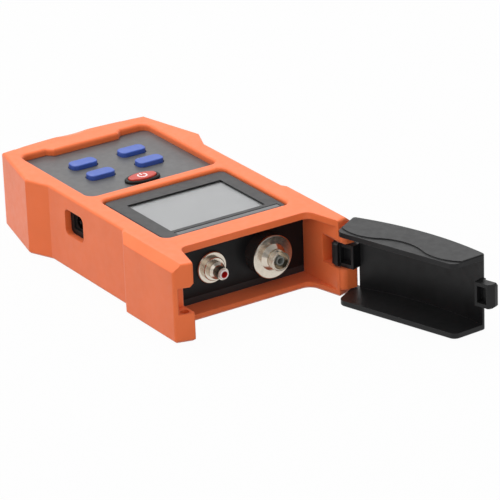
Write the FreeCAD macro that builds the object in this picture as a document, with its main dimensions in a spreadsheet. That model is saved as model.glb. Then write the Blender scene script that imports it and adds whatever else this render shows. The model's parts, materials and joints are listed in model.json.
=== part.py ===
import FreeCAD, Part
import math
import os
import re

import Sketcher

# Handheld optical power meter: a boot round a two-part case, with a hinged cover over its two
# fibre ports.  It lies on its back: +Z leaves the keypad face, +Y runs to the tail, and the
# origin is at the middle of the base.  Sizes below are in millimetres and degrees.  Lengths
# along Y are measured back from the nose line, where the two legs of the boot end.

SIZES = {
    # outline of the boot
    "body_length": 142.0,
    "body_width": 82.0,
    "body_height": 32.2,
    "waist_width": 74.0,
    "head_width": 82.8,
    "tail_width": 68.0,
    "block_end": 35.5,
    "waist_start": 42.5,
    "waist_back": 42.5,
    "head_back": 31.7,
    "tail_radius": 252.0,
    "nose_radius": 133.5,
    "shoulder_inset": 3.5,
    "shoulder_drop": 3.0,
    "edge_round": 1.2,
    "base_bevel": 0.9,
    "window_round": 1.4,
    # walls of the boot
    "boot_back": 2.4,
    "boot_side": 2.7,
    "boot_top": 2.9,
    "boot_tail": 3.2,
    # windows of the boot
    "keypad_width": 60.0,
    "keypad_start": 78.6,
    "keypad_back": 7.8,
    "keypad_corner": 3.5,
    "tongue_width": 30.4,
    "tongue_reach": 2.6,
    "screen_width": 57.6,
    "screen_start": 24.7,
    "screen_end": 72.7,
    "screen_corner": 3.0,
    "rear_window_width": 54.0,
    "rear_window_start": 31.0,
    "rear_window_back": 15.0,
    "rear_window_corner": 7.0,
    "side_window_start": 73.0,
    "side_window_end": 87.0,
    "side_window_drop": 2.5,
    "side_window_tall": 10.9,
    "side_window_corner": 2.4,
    "scoop_radius": 56.0,
    "scoop_reach": 3.4,
    "scoop_tilt": 14.0,
    # bay for the ports, and the legs beside it
    "bay_floor": 2.8,
    "bay_roof": 2.8,
    "bay_inset": 8.0,
    "bay_mouth_inset": 8.1,
    "recess_back": 13.0,
    "recess_back_inset": 11.5,
    "recess_mouth_inset": 7.7,
    "recess_mouth_line": -2.6,
    "recess_corner": 4.0,
    "notch_low": 11.7,
    "notch_high": 22.5,
    "notch_back": 8.8,
    "leg_skin": 1.8,
    "column_gap": 0.5,
    "column_front": -4.2,
    "column_round": 2.8,
    "column_corner": 1.4,
    "leg_corner": 1.0,
    "head_bevel": 1.4,
    "latch_hole": 3.6,
    "latch_hole_line": 1.1,
    "latch_hole_depth": 4.0,
    # hinge and cover
    "hinge_inset": 5.3,
    "hinge_line": 1.5,
    "pin_diameter": 2.2,
    "pin_low": 0.6,
    "pin_cap": 4.0,
    "pin_clearance": 0.05,
    "pin_chamfer": 0.2,
    "open_angle": 106.9,
    "cover_low": 0.5,
    "cover_drop": 0.4,
    "cover_plate": 2.4,
    "cover_wall": 2.0,
    "cover_wall_short": 3.2,
    "cover_back": 12.0,
    "cover_back_gap": 1.6,
    "cover_mouth_gap": 1.7,
    "cover_mouth_line": -2.9,
    "cover_corner": 3.2,
    "cover_nose_corner": 1.4,
    "cover_edge": 0.6,
    "wave_depth": 0.4,
    "wave_end": 6.8,
    "wave_join": 8.0,
    "wave_half": 9.5,
    "wave_side_radius": 19.0,
    "wave_middle_radius": 22.0,
    "block_gap": 0.5,
    "block_boss": 5.4,
    "block_neck": 2.2,
    "block_chamfer": 0.8,
    "block_front": 1.2,
    "block_inset": 13.3,
    "block_root": 2.8,
    "block_shoulder": 1.4,
    "block_side": 1.1,
    "block_pocket_wall": 1.5,
    "block_pocket_depth": 2.6,
    "latch_inset": 10.6,
    "latch_root": 1.6,
    "latch_front": 2.7,
    "latch_reach": 2.7,
    "latch_bevel": 2.1,
    "latch_nub": 2.4,
    "latch_nub_height": 0.3,
    # case inside the boot
    "case_front": 22.3,
    "taper_back": 16.0,
    "case_tail_width": 61.0,
    "case_wall": 2.0,
    "case_seam": 5.5,
    "panel_thickness": 2.0,
    "overlay_thickness": 0.5,
    "overlay_border": 1.2,
    "bezel_rise": 1.8,
    "bezel_seat": 1.0,
    "bezel_gap": 0.4,
    "display_width": 43.6,
    "display_length": 32.4,
    "display_start": 31.5,
    "lens_sink": 0.5,
    "lens_thickness": 0.7,
    "lens_border": 1.4,
    "module_border": 3.0,
    "module_thickness": 4.9,
    "bezel_bevel": 0.7,
    "strip_start": 26.4,
    "strip_length": 3.0,
    "strip_width": 47.6,
    "strip_shift": 2.1,
    "strip_depth": 0.3,
    # boards, posts and power
    "board_drop": 15.8,
    "board_thickness": 1.6,
    "board_start": 48.0,
    "board_back": 18.0,
    "board_width": 62.0,
    "post_across": 28.9,
    "post_front": 30.0,
    "post_back": 24.0,
    "post_board": 54.0,
    "post_diameter": 5.8,
    "screw_diameter": 2.5,
    "screw_head": 4.6,
    "screw_head_height": 1.6,
    "screw_length": 20.0,
    "screw_sink": 0.6,
    "screw_clearance": 0.2,
    "battery_width": 44.0,
    "battery_length": 52.0,
    "battery_clearance": 2.0,
    "battery_start": 58.0,
    "battery_corner": 2.0,
    "jack_width": 9.0,
    "jack_height": 7.4,
    "jack_depth": 12.0,
    "jack_centre": 80.0,
    "jack_bore": 5.4,
    "jack_bore_depth": 9.0,
    "jack_pin": 1.6,
    "jack_gap": 0.4,
    # keys
    "key_across": 11.5,
    "key_front_run": 13.5,
    "key_back_run": 27.3,
    "key_room": 46.3,
    "key_width": 11.8,
    "key_length": 6.3,
    "key_corner": 2.4,
    "key_rise": 1.9,
    "key_flange": 1.2,
    "key_flange_thickness": 0.9,
    "key_gap": 0.25,
    "key_float": 0.1,
    "key_travel": 0.8,
    "key_round": 0.5,
    "power_across": 0.0,
    "power_line": 87.9,
    "power_width": 12.6,
    "power_length": 6.8,
    "power_rise": 1.7,
    "ring_width": 15.6,
    "ring_length": 9.6,
    "ring_rise": 1.1,
    "ring_bevel": 0.4,
    "switch_side": 6.0,
    "switch_stem": 3.4,
    "switch_stem_height": 3.4,
    "switch_gap": 0.2,
    # ports, measured outwards from the connector panel
    "port_height": 16.1,
    "source_across": -10.1,
    "source_nut": 13.0,
    "source_nut_height": 1.2,
    "source_ring": 9.6,
    "source_ring_end": 3.0,
    "source_waist": 7.0,
    "source_waist_end": 5.4,
    "source_waist_taper": 0.8,
    "source_tube": 4.9,
    "source_tube_end": 8.9,
    "source_thread": 6.0,
    "sleeve_outer": 4.1,
    "sleeve_end": 9.8,
    "ferrule_bore": 2.5,
    "laser_diameter": 10.0,
    "laser_length": 20.0,
    "meter_across": 14.3,
    "collar_diameter": 17.4,
    "collar_end": 5.7,
    "collar_spigot": 12.4,
    "adapter_flange": 17.8,
    "adapter_flange_end": 7.0,
    "adapter_cone": 11.0,
    "adapter_cone_end": 8.6,
    "adapter_barrel": 8.0,
    "adapter_end": 12.5,
    "adapter_bore": 6.6,
    "adapter_floor": 7.8,
    "adapter_key": 2.2,
    "adapter_key_depth": 2.0,
    "alignment_outer": 3.7,
    "alignment_end": 12.1,
    "alignment_root": 2.5,
    "detector_diameter": 12.0,
    "detector_length": 8.0,
    "detector_window": 9.4,
    "turned_bevel": 0.3,
    "sleeve_bevel": 0.2,
    "sleeve_lead": 0.15,
    # how far a cutting outline runs past what it cuts
    "nose_clear": 10.0,
    "overcut": 1.0,
}

doc = FreeCAD.newDocument("optical_power_meter")
sheet = doc.addObject("Spreadsheet::Sheet", "Sizes")
for row, (alias, number) in enumerate(SIZES.items(), 1):
    sheet.set("A%d" % row, alias)
    sheet.set("B%d" % row, str(number))
    sheet.setAlias("B%d" % row, alias)
doc.recompute()

# Heights and widths that several pieces share, worked out from the sheet.  The rows of keys keep
# their places in a keypad with key_room behind the power key, and draw together in a shorter one.
SHARED = {
    "tail_end": "(body_length + tail_radius - sqrt(tail_radius ^ 2 - tail_width ^ 2 / 4))",
    "waist_end": "(body_length - waist_back)",
    "head_peak": "(body_length - head_back)",
    "keypad_end": "(body_length - keypad_back)",
    "rear_window_end": "(body_length - rear_window_back)",
    "case_taper": "(body_length - taper_back)",
    "post_rear": "(body_length - post_back)",
    "board_end": "(body_length - board_back)",
    "recess_back_half": "(body_width / 2 - recess_back_inset)",
    "recess_mouth_half": "(body_width / 2 - recess_mouth_inset)",
    "bay_half": "(body_width / 2 - bay_inset)",
    "bay_mouth_half": "(body_width / 2 - bay_mouth_inset)",
    "hinge_across": "(body_width / 2 - hinge_inset)",
    "cover_back_half": "(body_width / 2 - recess_back_inset - cover_back_gap)",
    "cover_mouth_half": "(body_width / 2 - recess_mouth_inset - cover_mouth_gap)",
    "block_inner": "(body_width / 2 - block_inset)",
    "latch_inner": "(body_width / 2 - latch_inset)",
    "cover_high": "(body_height - cover_drop)",
    "pin_high": "(body_height - pin_cap)",
    "plate_top": "(cover_low + cover_plate)",
    "plate_under": "(body_height - cover_drop - cover_plate)",
    "case_top": "(body_height - boot_top)",
    "bay_ceiling": "(body_height - bay_roof)",
    "case_half": "(waist_width / 2 - boot_side)",
    "case_end": "(body_length - boot_tail)",
    "case_tail_half": "(case_tail_width / 2)",
    "overlay_seat": "(body_height - boot_top - overlay_thickness)",
    "shell_ceiling": "(body_height - boot_top - case_wall)",
    "bezel_base": "(body_height - boot_top - bezel_seat)",
    "bezel_top": "(body_height - boot_top + bezel_rise)",
    "rear_floor": "(boot_back + case_wall)",
    "board_low": "(body_height - board_drop)",
    "board_top": "(body_height - board_drop + board_thickness)",
    "battery_thickness": "(body_height - board_drop - battery_clearance - boot_back - case_wall)",
    "side_window_low": "(body_height - board_drop + board_thickness - side_window_drop)",
    "side_window_high": "(body_height - board_drop + board_thickness - side_window_drop + side_window_tall)",
    "key_front": "(power_line + key_front_run * (body_length - keypad_back - power_line) / key_room)",
    "key_back": "(power_line + key_back_run * (body_length - keypad_back - power_line) / key_room)",
    "shell_front": "(case_front + panel_thickness)",
    "display_end": "(display_start + display_length)",
    "key_shelf": "(body_height - boot_top - case_wall - key_float)",
    "lens_top": "(body_height - boot_top + bezel_rise - lens_sink)",
    "lens_base": "(body_height - boot_top + bezel_rise - lens_sink - lens_thickness)",
    "block_low": "(notch_low + block_gap)",
    "block_high": "(notch_high - block_gap)",
    "pin_bore": "(pin_diameter / 2 + pin_clearance)",
}


def bound(text):
    """Return an expression with every size name pointing at the sheet."""
    for name, meaning in SHARED.items():
        text = re.sub(r"\b%s\b" % name, meaning, text)
    return re.sub(r"\b[a-z_]+\b", lambda m: "Sizes." + m.group() if m.group() in SIZES else m.group(), text)


def size(text):
    """Return the present value of an expression."""
    return float(sheet.evalExpression(bound(text)))


def bind(thing, path, text):
    thing.setExpression(path, bound(text))


def new_body(name, across="0", line="0", height="0"):
    """Start a body whose own origin is on the nose line, offset by the given expressions."""
    body = doc.addObject("PartDesign::Body", name)
    body.AllowCompound = True
    bind(body, "Placement.Base.x", across)
    bind(body, "Placement.Base.y", "%s - body_length / 2" % line)
    bind(body, "Placement.Base.z", height)
    return body


def new_port_body(name, across):
    """Start a body whose own Z leaves the connector panel towards the nose."""
    body = new_body(name, across, "case_front", "port_height")
    body.Placement.Rotation = FreeCAD.Rotation(FreeCAD.Vector(1, 0, 0), 90)
    return body


def new_sketch(body, plane="XY_Plane", offset="0"):
    """Start a sketch on an origin plane of the body, moved along that plane's normal."""
    sketch = body.newObject("Sketcher::SketchObject", body.Name + "_sketch")
    support = [face for face in body.Origin.OriginFeatures if face.Role == plane][0]
    sketch.AttachmentSupport = (support, "")
    sketch.MapMode = "FlatFace"
    bind(sketch, "AttachmentOffset.Base.z", offset)
    return sketch


def lock(sketch, geometry, point, x, y):
    """Hold one point of the sketch at two expressions."""
    for kind, text in (("DistanceX", x), ("DistanceY", y)):
        index = sketch.addConstraint(Sketcher.Constraint(kind, -1, 1, geometry, point, size(text)))
        sketch.setExpression("Constraints[%d]" % index, bound(text))


def lock_radius(sketch, geometry, text):
    index = sketch.addConstraint(Sketcher.Constraint("Radius", geometry, size(text)))
    sketch.setExpression("Constraints[%d]" % index, bound(text))


def draw(sketch, path):
    """Draw a closed outline.

    Each item is (x, y) at the start of a straight edge, or (x, y, radius, turn) at the start of
    an arc, where turn is 1 for an arc to the left and -1 for one to the right.
    """
    first = sketch.GeometryCount
    corners = [FreeCAD.Vector(size(item[0]), size(item[1]), 0) for item in path]
    ends = []
    for start, item, finish in zip(corners, path, corners[1:] + corners[:1]):
        if len(item) == 2:
            sketch.addGeometry(Part.LineSegment(start, finish), False)
            ends.append((1, 2))
            continue
        radius, turn = size(item[2]), item[3]
        half = (finish - start) / 2
        left = FreeCAD.Vector(-half.y, half.x, 0).normalize()
        centre = start + half + left * turn * math.sqrt(max(radius ** 2 - half.Length ** 2, 0))
        rays = [math.atan2(point.y - centre.y, point.x - centre.x) for point in (start, finish)]
        circle = Part.Circle(centre, FreeCAD.Vector(0, 0, 1), radius)
        sketch.addGeometry(Part.ArcOfCircle(circle, *rays[::turn]), False)
        ends.append((1, 2) if turn > 0 else (2, 1))
    count = len(path)
    for i in range(count):
        following = (i + 1) % count
        sketch.addConstraint(
            Sketcher.Constraint("Coincident", first + i, ends[i][1], first + following, ends[following][0])
        )
    for i, item in enumerate(path):
        lock(sketch, first + i, ends[i][0], item[0], item[1])
        if len(item) == 4:
            lock_radius(sketch, first + i, item[2])


def draw_circle(sketch, x, y, radius):
    centre = FreeCAD.Vector(size(x), size(y), 0)
    index = sketch.addGeometry(Part.Circle(centre, FreeCAD.Vector(0, 0, 1), size(radius)), False)
    lock(sketch, index, 3, x, y)
    lock_radius(sketch, index, radius)


def rectangle(x_low, x_high, y_low, y_high):
    return [(x_low, y_low), (x_high, y_low), (x_high, y_high), (x_low, y_high)]


def rounded(x_low, x_high, y_low, y_high, radius):
    """Return a rectangle with quarter-round corners."""
    return [
        ("%s + %s" % (x_low, radius), y_low),
        ("%s - %s" % (x_high, radius), y_low, radius, 1),
        (x_high, "%s + %s" % (y_low, radius)),
        (x_high, "%s - %s" % (y_high, radius), radius, 1),
        ("%s - %s" % (x_high, radius), y_high),
        ("%s + %s" % (x_low, radius), y_high, radius, 1),
        (x_low, "%s - %s" % (y_high, radius)),
        (x_low, "%s + %s" % (y_low, radius), radius, 1),
    ]


def oval(width, length):
    """Return an oval of four arcs about the sketch's origin."""
    a, b = "(%s) / 2" % width, "(%s) / 2" % length
    side = "((0.736 * %s)^2 + (0.323 * %s)^2) / (0.646 * %s)" % (a, b, b)
    end = "((0.677 * %s)^2 + (0.264 * %s)^2) / (0.528 * %s)" % (b, a, a)
    x, y = "0.736 * %s" % a, "0.677 * %s" % b
    return [("-%s" % x, "-%s" % y, side, 1), (x, "-%s" % y, end, 1), (x, y, side, 1), ("-%s" % x, y, end, 1)]


def moved(path, x, y):
    return [("%s + %s" % (x, item[0]), "%s + %s" % (y, item[1])) + tuple(item[2:]) for item in path]


def pad(body, sketch, length):
    """Add material from the sketch along its plane's normal."""
    feature = body.newObject("PartDesign::Pad", body.Name + "_pad")
    feature.Profile = sketch
    bind(feature, "Length", length)
    doc.recompute()
    return feature


def cut(body, sketch, length, forward=True):
    """Remove material from the sketch along its plane's normal, or against it."""
    before = body.Shape.Volume
    feature = body.newObject("PartDesign::Pocket", body.Name + "_pocket")
    feature.Profile = sketch
    feature.Reversed = forward
    bind(feature, "Length", length)
    doc.recompute()
    assert feature.Shape.Volume < before - 1e-6, "%s removes nothing" % feature.Name
    return feature


def turn(body, path):
    """Revolve an outline of (radius, height) about the body's own Z."""
    sketch = new_sketch(body, "XZ_Plane")
    draw(sketch, path)
    feature = body.newObject("PartDesign::Revolution", body.Name + "_turned")
    feature.Profile = sketch
    feature.ReferenceAxis = (sketch, ["V_Axis"])
    doc.recompute()
    return feature


def dress(body, kind, measure, chosen):
    """Round or bevel the edges of the body's last feature for which chosen(edge) is true."""
    base = body.Tip
    names = ["Edge%d" % i for i, edge in enumerate(base.Shape.Edges, 1) if chosen(edge)]
    assert names, "no edges chosen on %s" % body.Name
    feature = body.newObject("PartDesign::" + kind, body.Name + "_" + kind.lower())
    feature.Base = (base, names)
    bind(feature, "Radius" if kind == "Fillet" else "Size", measure)
    doc.recompute()
    assert not feature.Shape.isNull() and feature.Shape.isValid(), "%s fails" % feature.Name
    return feature


def near(value, text, slack=0.01):
    return abs(value - size(text)) < slack


def upright(edge):
    """True for a straight edge along Z."""
    box = edge.BoundBox
    return box.XLength < 1e-4 and box.YLength < 1e-4 and box.ZLength > 0.1


def level_at(edge, text):
    """True for an edge that lies wholly at one height."""
    box = edge.BoundBox
    return box.ZLength < 1e-4 and near(box.ZMin, text)


def at_corner(edge, x, y):
    middle = edge.BoundBox.Center
    return upright(edge) and near(abs(middle.x), x) and near(middle.y, y)


# ---------------------------------------------------------------- the boot


def boot_outline():
    return [
        ("-body_width / 2", "0", "nose_radius", 1),
        ("body_width / 2", "0"),
        ("body_width / 2", "block_end"),
        ("waist_width / 2", "waist_start"),
        ("waist_width / 2", "waist_end"),
        ("head_width / 2", "head_peak"),
        ("tail_width / 2", "body_length", "tail_radius", 1),
        ("-tail_width / 2", "body_length"),
        ("-head_width / 2", "head_peak"),
        ("-waist_width / 2", "waist_end"),
        ("-waist_width / 2", "waist_start"),
        ("-body_width / 2", "block_end"),
    ]


def case_outline(front, inset="0"):
    half, tail = "case_half - %s" % inset, "case_tail_half - %s" % inset
    return [
        ("-(%s)" % half, "%s + %s" % (front, inset)),
        (half, "%s + %s" % (front, inset)),
        (half, "case_taper"),
        (tail, "case_end - %s" % inset),
        ("-(%s)" % tail, "case_end - %s" % inset),
        ("-(%s)" % half, "case_taper"),
    ]


def recess_outline():
    """The mouth between the legs, carried on past the nose."""
    slope = "(recess_mouth_half - recess_back_half) / (recess_back - recess_mouth_line)"
    ahead = "(recess_mouth_half + %s * nose_clear)" % slope
    return [
        ("-%s" % ahead, "recess_mouth_line - nose_clear"),
        (ahead, "recess_mouth_line - nose_clear"),
        ("recess_back_half", "recess_back"),
        ("-recess_back_half", "recess_back"),
    ]


def column_outline():
    """The hinge leg's forward column, which the cover swings round."""
    return [
        ("recess_mouth_half", "overcut"),
        ("recess_mouth_half", "column_front + column_round", "column_round", 1),
        ("recess_mouth_half + column_round", "column_front"),
        ("body_width / 2 - column_corner", "column_front", "column_corner", 1),
        ("body_width / 2", "column_front + column_corner"),
        ("body_width / 2", "overcut"),
    ]


def build_boot():
    boot = new_body("protective_boot")
    plan = new_sketch(boot)
    draw(plan, boot_outline())
    pad(boot, plan, "body_height")
    dress(boot, "Fillet", "leg_corner", lambda e: at_corner(e, "body_width / 2", "0"))
    dress(boot, "Fillet", "edge_round", lambda e: level_at(e, "body_height"))

    # sloping shoulders along the front block, which run out where the sides narrow
    shoulders = new_sketch(boot, "XZ_Plane", "nose_radius / 10")
    for side in ("", "-"):
        draw(shoulders, [
            (side + "(body_width / 2 - shoulder_inset)", "body_height"),
            (side + "(body_width / 2 + overcut)",
             "body_height - shoulder_drop * (shoulder_inset + overcut) / shoulder_inset"),
            (side + "(body_width / 2 + overcut)", "body_height"),
        ])
    cut(boot, shoulders, "waist_start + nose_radius / 10", forward=False)

    # room for the case, the bay in front of it and the mouth between the legs
    case_room = new_sketch(boot, offset="boot_back")
    draw(case_room, case_outline("case_front"))
    cut(boot, case_room, "case_top - boot_back")
    bay = new_sketch(boot, offset="bay_floor")
    draw(bay, [
        ("-bay_mouth_half", "-nose_clear"),
        ("bay_mouth_half", "-nose_clear"),
        ("bay_mouth_half", "recess_mouth_line"),
        ("bay_half", "case_front + overcut"),
        ("-bay_half", "case_front + overcut"),
        ("-bay_mouth_half", "recess_mouth_line"),
    ])
    cut(boot, bay, "bay_ceiling - bay_floor")
    mouth = new_sketch(boot)
    draw(mouth, recess_outline())
    cut(boot, mouth, "body_height")
    dress(boot, "Fillet", "recess_corner", lambda e: at_corner(e, "recess_back_half", "recess_back"))
    dress(boot, "Chamfer", "base_bevel", lambda e: level_at(e, "0"))
    for low, high in (("plate_top + column_gap", "notch_low"), ("notch_high", "plate_under - column_gap")):
        column = new_sketch(boot, offset=low)
        draw(column, column_outline())
        pad(boot, column, "%s - (%s)" % (high, low))

    # windows over the screen and keypad, in the back and on the left side
    window = new_sketch(boot, offset="case_top")
    draw(window, rounded("-screen_width / 2", "screen_width / 2",
                         "screen_start", "screen_end", "screen_corner"))
    draw(window, [
        ("-keypad_width / 2", "keypad_start"),
        ("keypad_width / 2", "keypad_start"),
        ("keypad_width / 2", "keypad_end"),
        ("tongue_width / 2 + tongue_reach", "keypad_end"),
        ("tongue_width / 2", "keypad_end - tongue_reach"),
        ("-tongue_width / 2", "keypad_end - tongue_reach"),
        ("-tongue_width / 2 - tongue_reach", "keypad_end"),
        ("-keypad_width / 2", "keypad_end"),
    ])
    cut(boot, window, "boot_top")
    dress(boot, "Fillet", "keypad_corner", lambda e: at_corner(e, "keypad_width / 2", "keypad_start")
          or at_corner(e, "keypad_width / 2", "keypad_end"))
    rear = new_sketch(boot)
    draw(rear, rounded("-rear_window_width / 2", "rear_window_width / 2",
                       "rear_window_start", "rear_window_end", "rear_window_corner"))
    cut(boot, rear, "boot_back")
    side = new_sketch(boot, "YZ_Plane", "-waist_width / 2 - overcut")
    draw(side, rounded("side_window_start", "side_window_end",
                       "side_window_low", "side_window_high", "side_window_corner"))
    cut(boot, side, "boot_side + overcut")

    # a shallow finger scoop that runs out through the tail, on a round profile tilted downwards
    scoop = new_sketch(boot, "XZ_Plane", "scoop_reach - tail_end")
    scoop.AttachmentOffset = FreeCAD.Placement(
        scoop.AttachmentOffset.Base, FreeCAD.Rotation(FreeCAD.Vector(1, 0, 0), -size("scoop_tilt"))
    )
    bind(scoop, "AttachmentOffset.Base.y", "body_height")
    bind(scoop, "AttachmentOffset.Rotation.Angle", "-scoop_tilt")
    draw_circle(scoop, "0", "scoop_radius", "scoop_radius")
    cut(boot, scoop, "scoop_reach + nose_clear", forward=False)

    # notches in the legs, the bore for the hinge pin and the hole that the latch drops into
    notches = new_sketch(boot, offset="notch_low")
    for sign in ("", "-"):
        inner, outer = sign + "(recess_back_half - overcut)", sign + "(body_width / 2 - leg_skin)"
        draw(notches, [(inner, "-nose_clear"), (outer, "-nose_clear"),
                       (outer, "notch_back"), (inner, "notch_back")])
    cut(boot, notches, "notch_high - notch_low")
    dress(boot, "Chamfer", "head_bevel", lambda e: level_at(e, "notch_high")
          and e.BoundBox.YLength > 0.2 and e.BoundBox.YMax < size("notch_back + 0.1")
          and abs(e.BoundBox.Center.x) < size("recess_mouth_half"))
    bore = new_sketch(boot)
    draw_circle(bore, "hinge_across", "hinge_line", "pin_diameter / 2")
    cut(boot, bore, "pin_high")
    socket = new_sketch(boot, offset="notch_low - latch_hole_depth")
    draw_circle(socket, "-hinge_across", "latch_hole_line", "latch_hole / 2")
    cut(boot, socket, "latch_hole_depth")

    # soft rims round both front windows
    dress(boot, "Fillet", "window_round", lambda e: level_at(e, "body_height")
          and e.BoundBox.XMax < size("keypad_width / 2 + 0.1")
          and e.BoundBox.XMin > -size("keypad_width / 2 + 0.1")
          and e.BoundBox.YMin > size("screen_start - 0.1") and e.BoundBox.YMax < size("keypad_end + 0.1"))
    return boot


# ---------------------------------------------------------------- the cover and its pin


def from_hinge(path):
    """Measure an outline from the hinge's own axis."""
    return moved(path, "-hinge_across", "-hinge_line")


def cover_outline():
    """The cover seen from above: an arc along the nose, and straight ends that narrow inwards."""
    return [
        ("-cover_mouth_half", "cover_mouth_line", "nose_radius", 1),
        ("cover_mouth_half", "cover_mouth_line"),
        ("cover_back_half", "cover_back"),
        ("-cover_back_half", "cover_back"),
    ]


def hollow_outline():
    """The room between the cover's two plates, open at both ends and at the back."""
    side, wall_line = "(cover_mouth_half + overcut)", "cover_mouth_line + cover_wall"
    return [
        ("-%s" % side, wall_line, "nose_radius - cover_wall", 1),
        (side, wall_line),
        (side, "cover_back + overcut"),
        ("-%s" % side, "cover_back + overcut"),
    ]


def hinge_block_outline():
    """The lug that turns on the pin, round about the hinge's axis and joined to the nose wall."""
    return [
        ("block_inner", "cover_mouth_line"),
        ("block_inner + block_root", "cover_mouth_line"),
        ("block_inner + block_root", "hinge_line - block_neck"),
        ("hinge_across", "hinge_line - block_boss / 2", "block_boss / 2", 1),
        ("hinge_across + block_boss / 2", "hinge_line", "block_boss / 2", 1),
        ("hinge_across", "hinge_line + block_boss / 2"),
        ("hinge_across - block_shoulder", "hinge_line + block_boss / 2"),
        ("hinge_across - block_shoulder", "hinge_line + block_front"),
        ("block_inner", "hinge_line + block_front"),
    ]


def latch_block_outline():
    """The square lug at the free end, which drops into the other leg's notch."""
    front, back, end = "hinge_line - latch_front", "hinge_line + block_front", "(hinge_across + latch_reach)"
    return [
        ("-latch_inner", back),
        ("-(%s - latch_bevel)" % end, back),
        ("-%s" % end, "%s - latch_bevel" % back),
        ("-%s" % end, front),
        ("-(latch_inner + latch_root)", front),
        ("-(latch_inner + latch_root)", "cover_mouth_line + overcut / 2"),
        ("-latch_inner", "cover_mouth_line + overcut / 2"),
    ]


def wave_outline():
    """The lowered strip beside the meter, with its wavy front edge."""
    side = "(cover_mouth_half - overcut)"
    return [
        ("-%s" % side, "wave_end", "wave_side_radius", -1),
        ("-wave_half", "wave_join", "wave_middle_radius", 1),
        ("wave_half", "wave_join", "wave_side_radius", -1),
        (side, "wave_end"),
        (side, "cover_back + overcut"),
        ("-%s" % side, "cover_back + overcut"),
    ]


def build_cover():
    cover = new_body("port_cover", "hinge_across", "hinge_line")
    bind(cover, "Placement.Rotation.Angle", "open_angle")
    plan = new_sketch(cover, offset="cover_low")
    draw(plan, from_hinge(cover_outline()))
    pad(cover, plan, "cover_high - cover_low")
    dress(cover, "Fillet", "cover_corner", lambda e: upright(e) and e.BoundBox.YMin > 0)
    dress(cover, "Fillet", "cover_nose_corner", lambda e: upright(e) and e.BoundBox.YMax < 0)
    dress(cover, "Fillet", "cover_edge", lambda e: e.BoundBox.ZLength < 1e-4)
    hollow = new_sketch(cover, offset="plate_top")
    draw(hollow, from_hinge(hollow_outline()))
    cut(cover, hollow, "plate_under - plate_top")
    wave = new_sketch(cover, offset="cover_high - wave_depth")
    draw(wave, from_hinge(wave_outline()))
    cut(cover, wave, "wave_depth + overcut")

    # the nose wall stops short of the hinge above and below the lug, to clear the boot's column
    for low, high in (("plate_top", "block_low"), ("block_high", "plate_under")):
        clearance = new_sketch(cover, offset=low)
        draw(clearance, from_hinge(rectangle("cover_mouth_half - cover_wall_short",
                                             "cover_mouth_half + overcut", "-nose_clear", "cover_back")))
        cut(cover, clearance, "%s - %s" % (high, low))

    # a lug at each end: the right one turns on the pin and the left one is the latch
    lugs = new_sketch(cover, offset="block_low")
    draw(lugs, from_hinge(hinge_block_outline()))
    draw(lugs, from_hinge(latch_block_outline()))
    pad(cover, lugs, "block_high - block_low")
    dress(cover, "Chamfer", "block_chamfer", lambda e: e.BoundBox.ZLength < 1e-4 and (
        e.Curve.TypeId.endswith("Circle") and near(e.Curve.Radius, "block_boss / 2")
        or near(e.BoundBox.XMax, "-2 * hinge_across - latch_reach")))
    pockets = new_sketch(cover, offset="block_low + block_pocket_wall")
    floor, mouth = "hinge_line + block_front - block_pocket_depth", "hinge_line + block_front + overcut"
    draw(pockets, from_hinge(rectangle("block_inner + block_side",
                                       "hinge_across - pin_diameter / 2 - block_side / 2", floor, mouth)))
    draw(pockets, from_hinge(rectangle("-(hinge_across + latch_reach - latch_bevel - block_side / 2)",
                                       "-(latch_inner + block_side)", floor, mouth)))
    cut(cover, pockets, "block_high - block_low - 2 * block_pocket_wall")
    nub = new_sketch(cover, offset="block_low - latch_nub_height")
    draw_circle(nub, "-2 * hinge_across", "latch_hole_line - hinge_line", "latch_nub / 2")
    pad(cover, nub, "latch_nub_height")
    eye = new_sketch(cover, offset="block_low")
    draw_circle(eye, "0", "0", "pin_bore")
    cut(cover, eye, "block_high - block_low")
    return cover


def build_pin():
    pin = new_body("hinge_pin", "hinge_across", "hinge_line", "pin_low")
    plan = new_sketch(pin)
    draw_circle(plan, "0", "0", "pin_diameter / 2")
    pad(pin, plan, "pin_high - pin_low")
    dress(pin, "Chamfer", "pin_chamfer", lambda e: e.BoundBox.ZLength < 1e-4)
    return pin


# ---------------------------------------------------------------- the case


def key_places():
    """Name and centre of each soft key, left to right and then front to back."""
    return [
        ("key_front_left", "-key_across", "key_front"),
        ("key_front_right", "key_across", "key_front"),
        ("key_back_left", "-key_across", "key_back"),
        ("key_back_right", "key_across", "key_back"),
    ]


def key_plan(margin):
    half_width, half_length = "(key_width / 2 + %s)" % margin, "(key_length / 2 + %s)" % margin
    return rounded("-%s" % half_width, half_width, "-%s" % half_length, half_length, "key_corner")


def power_plan(margin):
    return oval("(power_width + 2 * %s)" % margin, "(power_length + 2 * %s)" % margin)


def draw_key_wells(sketch, power_well):
    """Draw the wells of the four soft keys, and the given outline round the power key."""
    for _, x, y in key_places():
        draw(sketch, moved(key_plan("key_gap"), x, y))
    draw(sketch, moved(power_well, "power_across", "power_line"))


def post_places():
    """Centres of the four case screws."""
    return [(sign + "post_across", line) for line in ("post_front", "post_rear") for sign in ("-", "")]


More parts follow.
